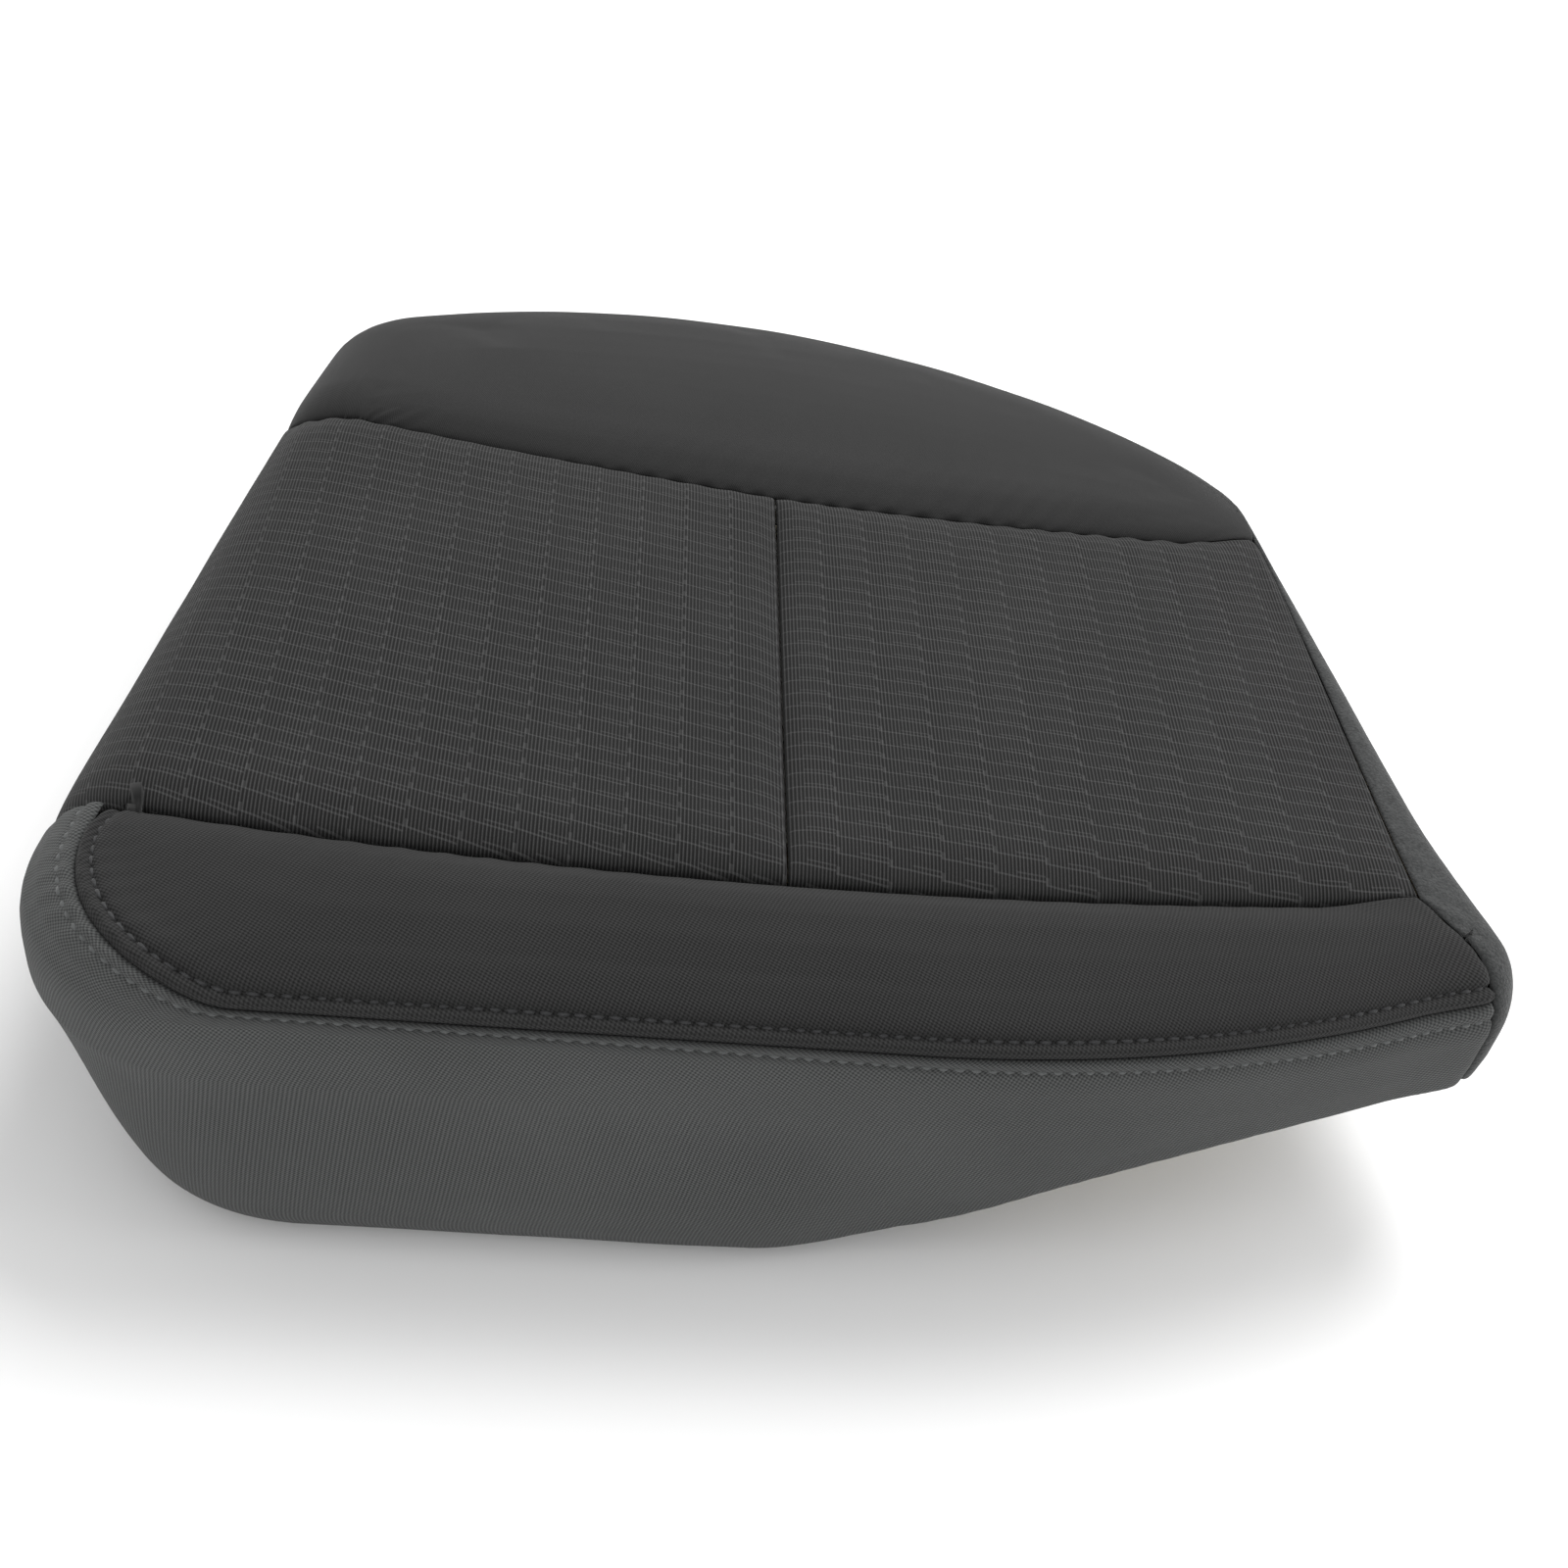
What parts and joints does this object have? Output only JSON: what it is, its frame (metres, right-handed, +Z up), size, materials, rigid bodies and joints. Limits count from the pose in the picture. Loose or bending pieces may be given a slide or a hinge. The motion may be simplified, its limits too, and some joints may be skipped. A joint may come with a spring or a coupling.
{
  "type": "vehicle seat base cushion",
  "caption": "Trimmed car seat base cushion: moulded foam pad in a sewn charcoal cloth cover with tied-down cross seams and a thin right side.",
  "frame": {"origin": "middle of the flat base, on the ground plane", "axes": "+X to the right seen from the front, +Y to the rear, +Z up"},
  "size_m": [0.5492, 0.5185, 0.1341],
  "materials": {
    "basket_cloth": "dark grey basket weave, matt",
    "rib_jacquard": "charcoal ribbed jacquard in staggered blocks, matt",
    "plain_cloth": "fine plain charcoal cloth, matt",
    "needle_felt": "grey needle-punched felt, fuzzy",
    "stitch_thread": "light grey thread",
    "pu_foam": "moulded polyurethane foam, open cell, pale cream",
    "base_felt": "pressed felt",
    "sleeve_fleece": "white non-woven sleeve",
    "ring_steel": "plain steel wire",
    "foam_wire_steel": "plain drawn wire",
    "trim_wire_steel": "plain drawn wire",
    "strip_plastic": "black extruded polypropylene"
  },
  "bodies": {
    "root": {"base_felt": "base_felt", "foam_pad": "pu_foam", "foam_wire_centre": "foam_wire_steel", "foam_wire_front": "foam_wire_steel", "foam_wire_rear": "foam_wire_steel", "front_fascia": "basket_cloth", "front_top_panel": "basket_cloth", "hem_right": "needle_felt", "hog_rings_centre": "ring_steel", "hog_rings_front": "ring_steel", "hog_rings_rear": "ring_steel", "j_strip_front": "strip_plastic", "j_strip_left": "strip_plastic", "j_strip_rear": "strip_plastic", "j_strip_right": "strip_plastic", "rear_apron": "plain_cloth", "rear_panel": "plain_cloth", "seat_panel_left": "rib_jacquard", "seat_panel_right": "rib_jacquard", "side_strip_right": "needle_felt", "side_wall_left": "plain_cloth", "sleeve_centre": "sleeve_fleece", "sleeve_front": "sleeve_fleece", "sleeve_rear": "sleeve_fleece", "topstitch_lower": "stitch_thread", "topstitch_upper": "stitch_thread", "trim_wire_centre": "trim_wire_steel", "trim_wire_front": "trim_wire_steel", "trim_wire_rear": "trim_wire_steel"}
  },
  "joints": []
}
